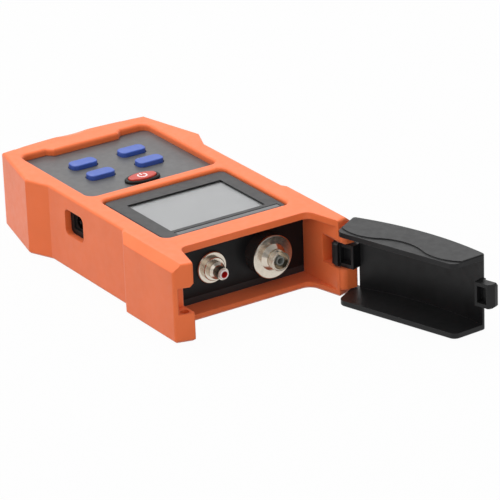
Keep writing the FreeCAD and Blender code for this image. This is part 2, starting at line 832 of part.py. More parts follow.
def build_front_shell():
    shell = new_body("front_shell")
    plan = new_sketch(shell, offset="case_seam")
    draw(plan, case_outline("shell_front"))
    pad(shell, plan, "case_top - case_seam")
    inside = new_sketch(shell, offset="case_seam")
    room = case_outline("shell_front", "case_wall")
    room[0] = (room[0][0], "shell_front - overcut")
    room[1] = (room[1][0], "shell_front - overcut")
    draw(inside, room)
    cut(shell, inside, "shell_ceiling - case_seam")

    # seats for the keypad overlay and the screen bezel, and what passes through them
    overlay = new_sketch(shell, offset="overlay_seat")
    draw(overlay, rectangle("-keypad_width / 2 - overlay_border", "keypad_width / 2 + overlay_border",
                            "keypad_start - overlay_border", "keypad_end + overlay_border"))
    cut(shell, overlay, "overlay_thickness + overcut")
    seat = new_sketch(shell, offset="bezel_base")
    draw(seat, rectangle("-screen_width / 2", "screen_width / 2", "shell_front - overcut", "screen_end"))
    cut(shell, seat, "bezel_seat + overcut")
    opening = new_sketch(shell, offset="shell_ceiling - overcut")
    draw(opening, rectangle(*display_box("module_border")))
    cut(shell, opening, "case_wall + 2 * overcut")
    wells = new_sketch(shell, offset="shell_ceiling - overcut")
    draw_key_wells(wells, power_plan("key_gap"))
    cut(shell, wells, "case_wall + 2 * overcut")
    hatch = new_sketch(shell, "YZ_Plane", "-case_half - overcut")
    draw(hatch, rectangle("jack_centre - jack_width / 2", "jack_centre + jack_width / 2",
                          "board_top", "board_top + jack_height"))
    cut(shell, hatch, "case_wall + 2 * overcut")

    # bosses that the case screws bite into
    for line, foot in (("post_front", "board_low"), ("post_rear", "board_top")):
        bosses = new_sketch(shell, offset=foot)
        holes = new_sketch(shell, offset=foot)
        for sign in ("-", ""):
            draw_circle(bosses, sign + "post_across", line, "post_diameter / 2")
            draw_circle(holes, sign + "post_across", line, "screw_diameter / 2")
        pad(shell, bosses, "shell_ceiling - %s" % foot)
        cut(shell, holes, "rear_floor - screw_sink + screw_length - %s" % foot)
    return shell


def build_rear_shell():
    shell = new_body("rear_shell")
    plan = new_sketch(shell, offset="boot_back")
    draw(plan, case_outline("case_front"))
    pad(shell, plan, "case_seam - boot_back")
    inside = new_sketch(shell, offset="rear_floor")
    draw(inside, case_outline("case_front", "case_wall"))
    cut(shell, inside, "case_seam - rear_floor")
    posts = new_sketch(shell, offset="rear_floor")
    for x, y in post_places() + [("-post_across", "post_board"), ("post_across", "post_board")]:
        draw_circle(posts, x, y, "post_diameter / 2")
    pad(shell, posts, "board_low - rear_floor")
    holes = new_sketch(shell, offset="boot_back")
    heads = new_sketch(shell, offset="boot_back")
    for x, y in post_places():
        draw_circle(holes, x, y, "screw_diameter / 2 + screw_clearance")
        draw_circle(heads, x, y, "screw_head / 2 + screw_clearance")
    cut(shell, holes, "board_low - boot_back")
    cut(shell, heads, "screw_sink + screw_head_height")
    return shell


def build_case_screws():
    """Four self-tapping screws, turned as one group."""
    screws = new_body("case_screws", height="boot_back + screw_sink")
    heads, shanks = new_sketch(screws), new_sketch(screws, offset="screw_head_height")
    sockets = new_sketch(screws)
    for x, y in post_places():
        draw_circle(heads, x, y, "screw_head / 2")
        draw_circle(shanks, x, y, "screw_diameter / 2")
        draw(sockets, cross(x, y))
    pad(screws, heads, "screw_head_height")
    pad(screws, shanks, "screw_length - screw_head_height")
    cut(screws, sockets, "screw_head_height / 2")
    return screws


def cross(x, y):
    """A cross recess as one outline."""
    long_arm, half_slot = "screw_head * 0.3", "screw_head * 0.07"
    steps = [(-1, -2), (1, -2), (1, -1), (2, -1), (2, 1), (1, 1),
             (1, 2), (-1, 2), (-1, 1), (-2, 1), (-2, -1), (-1, -1)]
    reach = {1: half_slot, 2: long_arm, -1: "-" + half_slot, -2: "-" + long_arm}
    return moved([(reach[i], reach[j]) for i, j in steps], x, y)


def build_panel():
    panel = new_body("connector_panel")
    plan = new_sketch(panel, offset="case_seam")
    draw(plan, rectangle("-case_half", "case_half", "case_front", "shell_front"))
    pad(panel, plan, "bezel_base - case_seam")
    face = new_sketch(panel, "XZ_Plane", "-case_front")
    draw_circle(face, "source_across", "port_height", "source_thread / 2")
    draw_circle(face, "meter_across", "port_height", "collar_spigot / 2")
    cut(panel, face, "panel_thickness", forward=False)
    return panel


def build_overlay():
    overlay = new_body("keypad_overlay")
    plan = new_sketch(overlay, offset="overlay_seat")
    draw(plan, rectangle("-keypad_width / 2 - overlay_border", "keypad_width / 2 + overlay_border",
                         "keypad_start - overlay_border", "keypad_end + overlay_border"))
    pad(overlay, plan, "overlay_thickness")
    wells = new_sketch(overlay, offset="overlay_seat")
    draw_key_wells(wells, oval("ring_width", "ring_length"))
    cut(overlay, wells, "overlay_thickness")
    return overlay


def build_power_ring():
    ring = new_body("power_key_ring", "power_across", "power_line", "overlay_seat")
    plan = new_sketch(ring)
    draw(plan, oval("ring_width", "ring_length"))
    pad(ring, plan, "overlay_thickness + ring_rise")
    dress(ring, "Chamfer", "ring_bevel", lambda e: level_at(e, "overlay_thickness + ring_rise"))
    well = new_sketch(ring)
    draw(well, power_plan("key_gap"))
    cut(ring, well, "overlay_thickness + ring_rise")
    return ring


# ---------------------------------------------------------------- the screen


def display_box(border):
    """Return the limits of the visible display, grown by a border."""
    return ("-display_width / 2 - %s" % border, "display_width / 2 + %s" % border,
            "display_start - %s" % border, "display_end + %s" % border)


def build_bezel():
    bezel = new_body("screen_bezel")
    plan = new_sketch(bezel, offset="bezel_base")
    draw(plan, rounded("-screen_width / 2 + bezel_gap", "screen_width / 2 - bezel_gap",
                       "screen_start + bezel_gap", "screen_end - bezel_gap", "(screen_corner - bezel_gap)"))
    pad(bezel, plan, "bezel_top - bezel_base")
    dress(bezel, "Chamfer", "bezel_bevel", lambda e: level_at(e, "bezel_top"))
    window = new_sketch(bezel, offset="bezel_base")
    draw(window, rectangle(*display_box("0")))
    cut(bezel, window, "bezel_top - bezel_base")
    for border, height in (("module_border", "lens_base"), ("lens_border", "lens_top")):
        rebate = new_sketch(bezel, offset="bezel_base")
        draw(rebate, rectangle(*display_box(border)))
        cut(bezel, rebate, "%s - bezel_base" % height)
    strip = new_sketch(bezel, offset="bezel_top - strip_depth")
    draw(strip, rectangle("strip_shift - strip_width / 2", "strip_shift + strip_width / 2",
                          "strip_start", "strip_start + strip_length"))
    cut(bezel, strip, "strip_depth + overcut")
    return bezel


def build_lens():
    lens = new_body("screen_lens")
    plan = new_sketch(lens, offset="lens_base")
    draw(plan, rectangle(*display_box("lens_border")))
    pad(lens, plan, "lens_thickness")
    return lens


def build_module():
    module = new_body("screen_module")
    plan = new_sketch(module, offset="lens_base - module_thickness")
    draw(plan, rectangle(*display_box("module_border")))
    pad(module, plan, "module_thickness")
    return module


# ---------------------------------------------------------------- board, power and switches


def build_board():
    board = new_body("main_board")
    plan = new_sketch(board, offset="board_low")
    draw(plan, rectangle("-board_width / 2", "board_width / 2", "board_start", "board_end"))
    pad(board, plan, "board_thickness")
    holes = new_sketch(board, offset="board_low")
    for sign in ("-", ""):
        draw_circle(holes, sign + "post_across", "post_rear", "screw_diameter / 2 + screw_clearance")
    cut(board, holes, "board_thickness")
    return board


def build_battery():
    battery = new_body("battery_pack")
    plan = new_sketch(battery, offset="rear_floor")
    draw(plan, rounded("-battery_width / 2", "battery_width / 2",
                       "battery_start", "battery_start + battery_length", "battery_corner"))
    pad(battery, plan, "battery_thickness")
    return battery


def build_jack():
    jack = new_body("charge_jack")
    face = "(-case_half + jack_gap)"
    plan = new_sketch(jack, offset="board_top")
    draw(plan, rectangle(face, face + " + jack_depth",
                         "jack_centre - jack_width / 2", "jack_centre + jack_width / 2"))
    pad(jack, plan, "jack_height")
    mouth, pin = new_sketch(jack, "YZ_Plane", face), new_sketch(jack, "YZ_Plane", face)
    for sketch, diameter in ((mouth, "jack_bore"), (pin, "jack_pin")):
        draw_circle(sketch, "jack_centre", "board_top + jack_height / 2", diameter + " / 2")
    cut(jack, mouth, "jack_bore_depth")
    pad(jack, pin, "(jack_bore_depth + jack_depth) / 2")
    return jack


def build_switches():
    """Five press switches on the board, one below each key."""
    switches = new_body("key_switches", height="board_top")
    cases, stems = new_sketch(switches), new_sketch(switches)
    for x, y in [place[1:] for place in key_places()] + [("power_across", "power_line")]:
        half = "switch_side / 2"
        draw(cases, moved(rectangle("-" + half, half, "-" + half, half), x, y))
        draw_circle(stems, x, y, "switch_stem / 2")
    reach = "key_shelf - key_flange_thickness - key_travel - switch_gap - board_top"
    pad(switches, cases, reach + " - switch_stem_height")
    pad(switches, stems, reach)
    return switches


# ---------------------------------------------------------------- the keys


def build_key(name, x, y, plan_of, rise):
    """A cap on a flange that is held under the front shell."""
    key = new_body(name, x, y)
    foot = new_sketch(key, offset="key_shelf - key_flange_thickness")
    draw(foot, plan_of("key_flange"))
    pad(key, foot, "key_flange_thickness")
    cap = new_sketch(key, offset="key_shelf - key_flange_thickness")
    draw(cap, plan_of("0"))
    pad(key, cap, "case_top + %s - key_shelf + key_flange_thickness" % rise)
    dress(key, "Fillet", "key_round", lambda e: level_at(e, "case_top + %s" % rise))
    return key


# ---------------------------------------------------------------- the ports


def can(diameter, length):
    """A plain can that sits against the back of the connector panel."""
    back, radius = "-panel_thickness - %s" % length, "%s / 2" % diameter
    return [("0", back), (radius, back), (radius, "-panel_thickness"), ("0", "-panel_thickness")]


def build_ports():
    """The light source on the left and the power meter's input on the right."""
    source, meter = "source_across", "meter_across"
    nut = new_port_body("source_nut", source)
    turn(nut, [
        ("source_tube / 2", "0"),
        ("source_nut / 2", "0"),
        ("source_nut / 2", "source_nut_height - turned_bevel"),
        ("source_nut / 2 - turned_bevel", "source_nut_height"),
        ("source_tube / 2", "source_nut_height"),
    ])
    barrel = new_port_body("source_barrel", source)
    turn(barrel, [
        ("sleeve_outer / 2", "-panel_thickness"),
        ("source_thread / 2", "-panel_thickness"),
        ("source_thread / 2", "0"),
        ("source_tube / 2", "0"),
        ("source_tube / 2", "source_nut_height"),
        ("source_ring / 2", "source_nut_height"),
        ("source_ring / 2", "source_ring_end - turned_bevel"),
        ("source_ring / 2 - turned_bevel", "source_ring_end"),
        ("source_waist / 2", "source_ring_end"),
        ("source_waist / 2", "source_waist_end - source_waist_taper"),
        ("source_tube / 2", "source_waist_end"),
        ("source_tube / 2", "source_tube_end"),
        ("sleeve_outer / 2", "source_tube_end"),
    ])
    sleeve = new_port_body("source_sleeve", source)
    turn(sleeve, [
        ("ferrule_bore / 2", "-panel_thickness"), ("sleeve_outer / 2", "-panel_thickness"),
        ("sleeve_outer / 2", "sleeve_end - sleeve_bevel"), ("sleeve_outer / 2 - sleeve_bevel", "sleeve_end"),
        ("ferrule_bore / 2 + sleeve_lead", "sleeve_end"), ("ferrule_bore / 2", "sleeve_end - sleeve_lead"),
    ])
    laser = new_port_body("laser_module", source)
    turn(laser, can("laser_diameter", "laser_length"))
    collar = new_port_body("meter_collar", meter)
    turn(collar, [
        ("detector_window / 2", "-panel_thickness"), ("collar_spigot / 2", "-panel_thickness"),
        ("collar_spigot / 2", "0"), ("collar_diameter / 2", "0"),
        ("collar_diameter / 2", "collar_end"), ("detector_window / 2", "collar_end"),
    ])
    adapter = new_port_body("meter_adapter", meter)
    turn(adapter, [
        ("alignment_outer / 2", "alignment_root"),
        ("detector_window / 2", "alignment_root"),
        ("detector_window / 2", "collar_end"),
        ("adapter_flange / 2", "collar_end"),
        ("adapter_flange / 2", "adapter_flange_end - turned_bevel"),
        ("adapter_flange / 2 - turned_bevel", "adapter_flange_end"),
        ("adapter_cone / 2", "adapter_flange_end"),
        ("adapter_barrel / 2", "adapter_cone_end"),
        ("adapter_barrel / 2", "adapter_end - turned_bevel"),
        ("adapter_barrel / 2 - turned_bevel", "adapter_end"),
        ("adapter_bore / 2", "adapter_end"),
        ("adapter_bore / 2", "adapter_floor"),
        ("alignment_outer / 2", "adapter_floor"),
    ])
    slot = new_sketch(adapter, offset="adapter_end - adapter_key_depth")
    draw(slot, rectangle("-adapter_key / 2", "adapter_key / 2", "0", "adapter_barrel"))
    cut(adapter, slot, "adapter_key_depth + overcut")
    alignment = new_port_body("meter_sleeve", meter)
    turn(alignment, [
        ("ferrule_bore / 2", "alignment_root"), ("alignment_outer / 2", "alignment_root"),
        ("alignment_outer / 2", "alignment_end - sleeve_bevel"),
        ("alignment_outer / 2 - sleeve_bevel", "alignment_end"),
        ("ferrule_bore / 2 + sleeve_lead", "alignment_end"),
        ("ferrule_bore / 2", "alignment_end - sleeve_lead"),
    ])
    detector = new_port_body("detector", meter)
    turn(detector, can("detector_diameter", "detector_length"))
    return [nut, barrel, sleeve, laser, collar, adapter, alignment, detector]


def build_everything():
    parts = [build_boot(), build_cover(), build_pin()]
    parts += [build_front_shell(), build_rear_shell(), build_case_screws(), build_panel()]
    parts += [build_overlay(), build_power_ring(), build_bezel(), build_lens(), build_module()]
    parts += [build_board(), build_battery(), build_jack(), build_switches()]
    for name, x, y in key_places():
        parts.append(build_key(name, x, y, key_plan, "key_rise"))
    parts.append(build_key("power_key", "power_across", "power_line", power_plan, "power_rise"))
    parts += build_ports()
    return parts


def check(parts):
    """Stop if anything in the document failed."""
    for thing in doc.Objects:
        assert not {"Invalid", "Error"} & set(thing.State), "%s: %s" % (thing.Name, thing.State)
    for part in parts:
        assert not part.Shape.isNull() and part.Shape.isValid(), "%s has a bad shape" % part.Label


def export(parts):
    os.makedirs("parts", exist_ok=True)
    for part in parts:
        part.Shape.exportStep("parts/%s.step" % part.Label)
        print("%-20s %d solids, %9.1f mm3" % (part.Label, len(part.Shape.Solids), part.Shape.Volume))


PARTS = build_everything()
doc.recompute()
check(PARTS)
export(PARTS)
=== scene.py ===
"""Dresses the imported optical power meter: finishes, fine detail, studio and camera.

Lengths are in metres in the part's own frame: +Z leaves the keypad, +Y runs to the tail and the
base lies on z = 0.  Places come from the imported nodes' boxes and from the record.
"""

import json
import math

import bmesh
import bpy
from mathutils import Matrix, Vector


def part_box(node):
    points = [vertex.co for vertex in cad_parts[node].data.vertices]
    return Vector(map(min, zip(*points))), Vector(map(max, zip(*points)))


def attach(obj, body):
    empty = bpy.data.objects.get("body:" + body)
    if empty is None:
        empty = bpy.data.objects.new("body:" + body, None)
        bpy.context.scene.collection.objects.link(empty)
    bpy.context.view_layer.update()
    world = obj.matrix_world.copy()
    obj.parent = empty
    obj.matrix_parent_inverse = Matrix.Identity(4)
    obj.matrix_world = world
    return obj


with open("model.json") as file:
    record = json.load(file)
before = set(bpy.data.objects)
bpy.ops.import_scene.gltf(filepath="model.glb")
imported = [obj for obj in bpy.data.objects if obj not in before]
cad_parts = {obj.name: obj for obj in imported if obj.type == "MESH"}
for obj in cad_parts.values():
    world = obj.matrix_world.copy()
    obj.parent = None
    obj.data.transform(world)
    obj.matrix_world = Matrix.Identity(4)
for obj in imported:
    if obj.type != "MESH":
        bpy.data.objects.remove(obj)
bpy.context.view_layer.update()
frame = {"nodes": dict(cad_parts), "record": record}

MM = 0.001
NODES = frame["nodes"]
RIGHT = Vector((1.0, 0.0, 0.0))
TAIL = Vector((0.0, 1.0, 0.0))
UP = Vector((0.0, 0.0, 1.0))
QUARTER_TURN = math.pi / 2
FULL_TURN = 2 * math.pi


def middle(node):
    """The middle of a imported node's box."""
    low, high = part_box(node)
    return (Vector(low) + Vector(high)) / 2


def named(entries, name):
    """The entry that has this name in one of the record's lists."""
    return next(entry for entry in entries if entry["name"] == name)


def opening(name):
    """The low and high corners of an opening that the record states."""
    return named(frame["record"]["physics"]["openings"], name)["box_m"]


# ---------------------------------------------------------------- material recipes


EDGE_SAMPLES = 4
WEAR_AND_HIGHLIGHT_REACH = 0.4 * MM
# cosine between the softened and the true normal: at an edge painted paler as wear and as a highlight,
# and on a flat
WEAR_AND_HIGHLIGHT_EDGE_COSINE = 0.86
WEAR_AND_HIGHLIGHT_FLAT_COSINE = 0.995


class Recipe:
    """One procedural material, built up from a Principled shader."""

    def __init__(self, name, colour, roughness, metallic=0.0, specular=0.5):
        self.material = bpy.data.materials.new(name)
        self.material.use_nodes = True
        self.tree = self.material.node_tree
        self.shader = self.tree.nodes["Principled BSDF"]
        self.shader.inputs["Metallic"].default_value = metallic
        self.shader.inputs["Specular IOR Level"].default_value = specular
        self.shader.inputs["Roughness"].default_value = roughness
        self.shader.inputs["Base Color"].default_value = (*colour, 1.0)
        self.place = self.node("ShaderNodeTexCoord").outputs["Object"]
        self.edge = None

    def node(self, kind, **settings):
        """Add a node to the material's tree."""
        made = self.tree.nodes.new(kind)
        for key, value in settings.items():
            setattr(made, key, value)
        return made

    def feed(self, socket, value):
        """Link an output to a socket, or set the socket's own value."""
        if isinstance(value, bpy.types.NodeSocket):
            self.tree.links.new(value, socket)
        else:
            socket.default_value = value

    def noise(self, size, detail=3.0, stretch=(1.0, 1.0, 1.0), rough=0.5):
        """Noise whose blobs are about size metres across, stretched along the axes."""
        mapping = self.node("ShaderNodeMapping")
        self.feed(mapping.inputs["Vector"], self.place)
        mapping.inputs["Scale"].default_value = [1.0 / (size * part) for part in stretch]
        made = self.node("ShaderNodeTexNoise")
        made.inputs["Scale"].default_value = 1.0
        made.inputs["Detail"].default_value = detail
        made.inputs["Roughness"].default_value = rough
        self.feed(made.inputs["Vector"], mapping.outputs["Vector"])
        return made.outputs["Fac"]

    def spread(self, value, low, high, from_low=0.3, from_high=0.7):
        """Map a value from one range onto another; a noise lies mostly between 0.3 and 0.7."""
        made = self.node("ShaderNodeMapRange", clamp=True)
        self.feed(made.inputs["Value"], value)
        limits = {"From Min": from_low, "From Max": from_high, "To Min": low, "To Max": high}
        for key, number in limits.items():
            made.inputs[key].default_value = number
        return made.outputs["Result"]

    def maths(self, operation, first, second):
        """Work out one value from two."""
        made = self.node("ShaderNodeMath", operation=operation)
        self.feed(made.inputs[0], first)
        self.feed(made.inputs[1], second)
        return made.outputs["Value"]

    def blend(self, factor, first, second):
        """Mix two colours."""
        made = self.node("ShaderNodeMix", data_type="RGBA")
        self.feed(made.inputs["Factor"], factor)
        for socket, colour in ((made.inputs["A"], first), (made.inputs["B"], second)):
            self.feed(socket, (*colour, 1.0) if isinstance(colour, tuple) else colour)
        return made.outputs["Result"]

    def colour(self, value):
        self.feed(self.shader.inputs["Base Color"], value)

    def roughness(self, value):
        self.feed(self.shader.inputs["Roughness"], value)

    def soften(self, radius):
        """Let every relief catch light along edges as a real small radius does."""
        self.edge = self.node("ShaderNodeBevel", samples=EDGE_SAMPLES)
        self.edge.inputs["Radius"].default_value = radius

    def relief(self, height, depth):
        """The normal of a surface that a height map raises by up to depth metres."""
        made = self.node("ShaderNodeBump")
        made.inputs["Distance"].default_value = depth
        self.feed(made.inputs["Height"], height)
        if self.edge is not None:
            self.feed(made.inputs["Normal"], self.edge.outputs["Normal"])
        return made.outputs["Normal"]

    def bump(self, height, depth):
        """Give the shader a relief."""
        self.feed(self.shader.inputs["Normal"], self.relief(height, depth))

    def wear_and_highlight_edges(self):
        """A mask that is 1 along sharp edges and 0 on flats, where edges are painted paler as wear and
        as a painted highlight.
        """
        bevel = self.node("ShaderNodeBevel", samples=EDGE_SAMPLES)
        bevel.inputs["Radius"].default_value = WEAR_AND_HIGHLIGHT_REACH
        flat = self.node("ShaderNodeNewGeometry")
        dot = self.node("ShaderNodeVectorMath", operation="DOT_PRODUCT")
        self.feed(dot.inputs[0], bevel.outputs["Normal"])
        self.feed(dot.inputs[1], flat.outputs["Normal"])
        return self.spread(dot.outputs["Value"], 1.0, 0.0, WEAR_AND_HIGHLIGHT_EDGE_COSINE, WEAR_AND_HIGHLIGHT_FLAT_COSINE)


def toned(colour, factor, lift=0.0):
    """A colour made paler or deeper."""
    return tuple(min(1.0, part * factor + lift) for part in colour)


CLOUD_SIZE = 18 * MM
CLOUD_LIFT = 0.004
# how much paler sharp edges are painted, partly as wear and partly as a painted highlight
EDGE_WEAR_AND_HIGHLIGHT_SHIFT = 2.5
EDGE_WEAR_AND_HIGHLIGHT_LIFT = 0.01
EDGE_WEAR_AND_HIGHLIGHT_SHARE = 0.6
GLOSS_PATCH = 3 * MM
GLOSS_LOWER = 0.05
GLOSS_HIGHER = 0.07


def moulded(name, colour, roughness, grain=0.35 * MM, depth=0.006 * MM, specular=0.5,
            shift=0.06, edge=0.25 * MM, sheen=0.0):
    """Moulded plastic or rubber: fine grain, uneven gloss, and edges painted slightly paler, partly as
    wear and partly as a painted highlight.

    The colour drifts by the share shift, grain and depth measure the texture, and edges catch
    light as if rounded by edge.
    """
    recipe = Recipe(name, colour, roughness, specular=specular)
    recipe.shader.inputs["Sheen Weight"].default_value = sheen
    recipe.soften(edge)
    cloud = recipe.noise(CLOUD_SIZE, detail=2.0)
    pale = toned(colour, 1 + shift, CLOUD_LIFT)
    deep = toned(colour, 1 - shift)
    body = recipe.blend(recipe.spread(cloud, 0.0, 1.0), deep, pale)
    # sharp edges painted paler: partly wear, partly a painted highlight
    wear_and_highlight_colour = toned(colour, 1 + EDGE_WEAR_AND_HIGHLIGHT_SHIFT * shift, EDGE_WEAR_AND_HIGHLIGHT_LIFT)
    wear_and_highlight_factor = recipe.maths("MULTIPLY", recipe.wear_and_highlight_edges(), EDGE_WEAR_AND_HIGHLIGHT_SHARE)
    recipe.colour(recipe.blend(wear_and_highlight_factor, body, wear_and_highlight_colour))
    grit = recipe.noise(grain, detail=4.0, rough=0.6)
    patches = recipe.noise(GLOSS_PATCH)
    recipe.roughness(recipe.spread(patches, roughness - GLOSS_LOWER, roughness + GLOSS_HIGHER))
    recipe.bump(grit, depth)
    return recipe.material


TOOL_LINES = 0.05 * MM
TOOL_DEPTH = 0.0012 * MM
TOOL_STRETCH = {"Y": (60.0, 1.0, 60.0), "Z": (60.0, 60.0, 1.0)}
PLATED_EDGE = 0.06 * MM
SMEAR_SIZE = 1.6 * MM
SMEAR_TONE = 0.93
SMEAR_SHARE = 0.5
SMEAR_LOWER = 0.03
SMEAR_HIGHER = 0.05


def plated(name, colour, roughness, axis="Y"):
    """Turned and plated metal with smears and with faint tool lines round the given axis."""
    recipe = Recipe(name, colour, roughness, metallic=1.0)
    recipe.soften(PLATED_EDGE)
    turned = recipe.noise(TOOL_LINES, detail=2.0, stretch=TOOL_STRETCH[axis])
    smear = recipe.noise(SMEAR_SIZE)
    recipe.roughness(recipe.spread(smear, roughness - SMEAR_LOWER, roughness + SMEAR_HIGHER))
    dull = toned(colour, SMEAR_TONE)
    recipe.colour(recipe.blend(recipe.spread(smear, 0.0, SMEAR_SHARE), colour, dull))
    recipe.bump(turned, TOOL_DEPTH)
    return recipe.material


INK_FLECK = 0.12 * MM
INK_DEPTH = 0.002 * MM
INK_TONE = 0.7
INK_SHARE = 0.35


def printed(name, colour, roughness=0.45):
    """Ink laid on another surface."""
    recipe = Recipe(name, colour, roughness)
    flecks = recipe.noise(INK_FLECK, detail=2.0)
    recipe.colour(recipe.blend(recipe.spread(flecks, 0.0, INK_SHARE), colour, toned(colour, INK_TONE)))
    recipe.bump(flecks, INK_DEPTH)
    return recipe.material


ACRYLIC_TINT = (0.96, 0.96, 0.96)
ACRYLIC_IOR = 1.49
ACRYLIC_ROUGHNESS = 0.2
RIPPLE_SIZE = 9 * MM
RIPPLE_DEPTH = 0.002 * MM


def clear_window(name):
    """Clear acrylic: lets the display through and mirrors the room faintly on its outer faces.

    A mix of a transparent and a glossy shader takes the place of the recipe's own.
    """
    recipe = Recipe(name, (1.0, 1.0, 1.0), 0.05)
    gloss = recipe.node("ShaderNodeBsdfGlossy")
    gloss.inputs["Roughness"].default_value = ACRYLIC_ROUGHNESS
    clear = recipe.node("ShaderNodeBsdfTransparent")
    clear.inputs["Color"].default_value = (*ACRYLIC_TINT, 1.0)
    fresnel = recipe.node("ShaderNodeFresnel")
    fresnel.inputs["IOR"].default_value = ACRYLIC_IOR
    side = recipe.node("ShaderNodeNewGeometry")
    outer = recipe.maths("SUBTRACT", 1.0, side.outputs["Backfacing"])
    mix = recipe.node("ShaderNodeMixShader")
    recipe.feed(mix.inputs["Fac"], recipe.maths("MULTIPLY", fresnel.outputs["Fac"], outer))
    recipe.feed(mix.inputs[1], clear.outputs["BSDF"])
    recipe.feed(mix.inputs[2], gloss.outputs["BSDF"])
    ripple = recipe.relief(recipe.noise(RIPPLE_SIZE, detail=1.0), RIPPLE_DEPTH)
    recipe.feed(gloss.inputs["Normal"], ripple)
    recipe.feed(recipe.tree.nodes["Material Output"].inputs["Surface"], mix.outputs["Shader"])
    return recipe.material


DISPLAY_PALE = (0.346, 0.352, 0.358)
DISPLAY_DEEP = (0.308, 0.314, 0.320)
DISPLAY_WEAVE = (0.282, 0.288, 0.294)
DISPLAY_GLOSSY = 0.42
DISPLAY_DULL = 0.5
MOTTLE_SIZE = 7 * MM
MOTTLE_DEPTH = 0.001 * MM
WEAVE_SIZE = 0.3 * MM
WEAVE_SHARE = 0.25


def display_face(name):
    """Reflective liquid-crystal glass: grey, softly mottled and finely flecked."""
    recipe = Recipe(name, DISPLAY_PALE, DISPLAY_GLOSSY, specular=0.4)
    mottle = recipe.noise(MOTTLE_SIZE)
    weave = recipe.noise(WEAVE_SIZE, detail=1.0)
    tone = recipe.blend(recipe.spread(mottle, 0.0, 1.0), DISPLAY_DEEP, DISPLAY_PALE)
    recipe.colour(recipe.blend(recipe.spread(weave, 0.0, WEAVE_SHARE), tone, DISPLAY_WEAVE))
    recipe.roughness(recipe.spread(mottle, DISPLAY_GLOSSY, DISPLAY_DULL))
    recipe.bump(mottle, MOTTLE_DEPTH)
    return recipe.material


BOARD_GREENS = {"Color1": (0.008, 0.075, 0.03), "Color2": (0.010, 0.085, 0.034),
                "Mortar": (0.03, 0.16, 0.06)}
TRACK_CELL = 9 * MM
MORTAR_SIZE = 0.03
MASK_GRAIN = 0.5 * MM
MASK_DEPTH = 0.004 * MM


def circuit_board(name):
    """Green solder mask over copper tracks."""
    recipe = Recipe(name, BOARD_GREENS["Color1"], 0.35)
    bricks = recipe.node("ShaderNodeTexBrick")
    bricks.inputs["Scale"].default_value = 1.0 / TRACK_CELL
    bricks.inputs["Mortar Size"].default_value = MORTAR_SIZE
    for socket, colour in BOARD_GREENS.items():
        bricks.inputs[socket].default_value = (*colour, 1.0)
    recipe.feed(bricks.inputs["Vector"], recipe.place)
    recipe.colour(bricks.outputs["Color"])
    recipe.bump(recipe.noise(MASK_GRAIN), MASK_DEPTH)
    return recipe.material


CERAMIC = (0.86, 0.78, 0.76)
CERAMIC_PALE = (0.92, 0.84, 0.82)
# the red glow painted round the bore
BORE_GLOW_RED = (0.66, 0.016, 0.016)
BORE_INSIDE = 1.33 * MM
BORE_OUTSIDE = 1.45 * MM
SPECK_SIZE = 0.6 * MM
SPECK_DEPTH = 0.001 * MM


def ferrule_sleeve(name, axis_point):
    """White ceramic with a deep red glow painted round its bore; the axis runs along Y."""
    recipe = Recipe(name, CERAMIC, 0.22)
    offset = recipe.node("ShaderNodeVectorMath", operation="SUBTRACT")
    recipe.feed(offset.inputs[0], recipe.place)
    offset.inputs[1].default_value = axis_point
    flat = recipe.node("ShaderNodeVectorMath", operation="MULTIPLY")
    recipe.feed(flat.inputs[0], offset.outputs["Vector"])
    flat.inputs[1].default_value = RIGHT + UP
    reach = recipe.node("ShaderNodeVectorMath", operation="LENGTH")
    recipe.feed(reach.inputs[0], flat.outputs["Vector"])
    # share of the painted red glow: full inside the bore, none outside it
    inner = recipe.spread(reach.outputs["Value"], 1.0, 0.0, BORE_INSIDE, BORE_OUTSIDE)
    speck = recipe.noise(SPECK_SIZE)
    white = recipe.blend(recipe.spread(speck, 0.0, 1.0), CERAMIC, CERAMIC_PALE)
    recipe.colour(recipe.blend(inner, white, BORE_GLOW_RED))
    recipe.bump(speck, SPECK_DEPTH)
    return recipe.material


